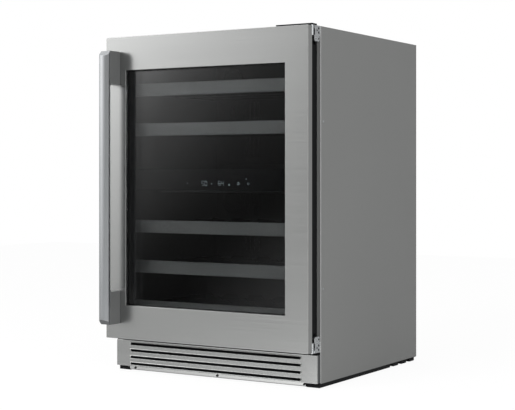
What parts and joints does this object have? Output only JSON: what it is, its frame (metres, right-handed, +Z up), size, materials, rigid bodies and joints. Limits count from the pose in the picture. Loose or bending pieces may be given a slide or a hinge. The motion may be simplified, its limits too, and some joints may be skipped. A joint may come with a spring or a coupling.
{
  "type": "wine cooler",
  "caption": "Under-counter wine cooler with two temperature zones, a tinted glass door framed in brushed steel, pull-out bottle racks and a slotted kick plate.",
  "frame": {"origin": "on the floor under the middle of the bounding box, handle included", "axes": "+Z up, +X to the right seen from the front, +Y from the door into the cabinet"},
  "size_m": [0.595, 0.66, 0.8678],
  "materials": {
    "painted_steel": "satin grey paint",
    "brushed_steel": "brushed",
    "handle_steel": "satin",
    "zinc_steel": "zinc plated",
    "black_steel": "satin black coating",
    "foam": "foamed polyurethane, cream",
    "liner_plastic": "moulded",
    "gloss_panel": "gloss",
    "tinted_glass": "grey tinted",
    "spacer_metal": "black anodised",
    "gasket_rubber": "matte",
    "fin_aluminium": "mill finish",
    "light_cover": "opal",
    "black_plastic": "moulded"
  },
  "bodies": {
    "cabinet": {"cabinet_wrap": "painted_steel", "back_panel": "painted_steel", "foam_insulation": "foam", "inner_liner": "liner_plastic", "lower_front_rail": "black_steel", "zone_divider": "liner_plastic", "control_fascia": "gloss_panel", "upper_light_strip": "light_cover", "lower_light_strip": "light_cover", "upper_duct_cover": "liner_plastic", "lower_duct_cover": "liner_plastic", "upper_filter_cap": "black_plastic", "lower_filter_cap": "black_plastic", "upper_evaporator": "fin_aluminium", "lower_evaporator": "fin_aluminium", "base_frame": "black_steel", "kick_grille": "brushed_steel", "compressor": "black_steel", "condenser_coil": "fin_aluminium", "drip_tray": "black_plastic", "condenser_fan_shroud": "black_steel", "hinge_bracket_upper": "zinc_steel", "hinge_bracket_lower": "zinc_steel", "top_hinge_plate": "black_steel", "rack_1_runner_left": "zinc_steel", "rack_1_runner_right": "zinc_steel", "rack_2_runner_left": "zinc_steel", "rack_2_runner_right": "zinc_steel", "rack_3_runner_left": "zinc_steel", "rack_3_runner_right": "zinc_steel", "rack_4_runner_left": "zinc_steel", "rack_4_runner_right": "zinc_steel"},
    "door": {"door_frame": "brushed_steel", "door_inner_frame": "black_plastic", "outer_glass": "tinted_glass", "inner_glass": "tinted_glass", "glass_spacer": "spacer_metal", "door_gasket": "gasket_rubber", "handle_bar": "handle_steel", "handle_post_lower": "handle_steel", "handle_post_upper": "handle_steel", "hinge_leaf_upper": "zinc_steel", "hinge_leaf_lower": "zinc_steel"},
    "rack_1": {"rack_1_front": "brushed_steel", "rack_1_frame": "black_steel"},
    "rack_2": {"rack_2_front": "brushed_steel", "rack_2_frame": "black_steel"},
    "rack_3": {"rack_3_front": "brushed_steel", "rack_3_frame": "black_steel"},
    "rack_4": {"rack_4_front": "brushed_steel", "rack_4_frame": "black_steel"},
    "rack_5": {"rack_5_front": "brushed_steel", "rack_5_frame": "black_steel"},
    "upper_fan": {"upper_fan_rotor": "black_plastic"},
    "lower_fan": {"lower_fan_rotor": "black_plastic"},
    "condenser_fan": {"condenser_fan_rotor": "black_plastic"},
    "foot_front_left_leg": {"foot_front_left": "black_steel"},
    "foot_front_right_leg": {"foot_front_right": "black_steel"},
    "foot_rear_left_leg": {"foot_rear_left": "black_steel"},
    "foot_rear_right_leg": {"foot_rear_right": "black_steel"}
  },
  "joints": [
    {"name": "door_hinge", "type": "hinge", "parent": "cabinet", "child": "door", "pos_m": [0.292, -0.238, 0.476], "axis": [0, 0, 1], "range_deg": [0, 110]},
    {"name": "rack_1_slide", "type": "slide", "parent": "cabinet", "child": "rack_1", "axis": [0, -1, 0], "range_m": [0, 0.3]},
    {"name": "rack_2_slide", "type": "slide", "parent": "cabinet", "child": "rack_2", "axis": [0, -1, 0], "range_m": [0, 0.3]},
    {"name": "rack_3_slide", "type": "slide", "parent": "cabinet", "child": "rack_3", "axis": [0, -1, 0], "range_m": [0, 0.3]},
    {"name": "rack_4_slide", "type": "slide", "parent": "cabinet", "child": "rack_4", "axis": [0, -1, 0], "range_m": [0, 0.3]},
    {"name": "rack_5_slide", "type": "slide", "parent": "cabinet", "child": "rack_5", "axis": [0, -1, 0], "range_m": [0, 0.26]},
    {"name": "upper_fan_spin", "type": "hinge", "parent": "cabinet", "child": "upper_fan", "pos_m": [0.13, 0.206, 0.768], "axis": [0, 1, 0], "continuous": true},
    {"name": "lower_fan_spin", "type": "hinge", "parent": "cabinet", "child": "lower_fan", "pos_m": [0.13, 0.206, 0.41], "axis": [0, 1, 0], "continuous": true},
    {"name": "condenser_fan_spin", "type": "hinge", "parent": "cabinet", "child": "condenser_fan", "pos_m": [-0.1329, 0.227, 0.1128], "axis": [1, 0, 0], "continuous": true},
    {"name": "front_left_foot_level", "type": "slide", "parent": "cabinet", "child": "foot_front_left_leg", "axis": [0, 0, -1], "range_m": [0, 0.02]},
    {"name": "front_right_foot_level", "type": "slide", "parent": "cabinet", "child": "foot_front_right_leg", "axis": [0, 0, -1], "range_m": [0, 0.02]},
    {"name": "rear_left_foot_level", "type": "slide", "parent": "cabinet", "child": "foot_rear_left_leg", "axis": [0, 0, -1], "range_m": [0, 0.02]},
    {"name": "rear_right_foot_level", "type": "slide", "parent": "cabinet", "child": "foot_rear_right_leg", "axis": [0, 0, -1], "range_m": [0, 0.02]}
  ],
  "couplings": [
    {"joint": "rack_1_slide", "follows": "door_hinge", "m_per_rad": 0.06},
    {"joint": "rack_2_slide", "follows": "door_hinge", "m_per_rad": 0.06},
    {"joint": "rack_3_slide", "follows": "door_hinge", "m_per_rad": 0.06},
    {"joint": "rack_4_slide", "follows": "door_hinge", "m_per_rad": 0.06},
    {"joint": "rack_5_slide", "follows": "door_hinge", "m_per_rad": 0.06}
  ]
}
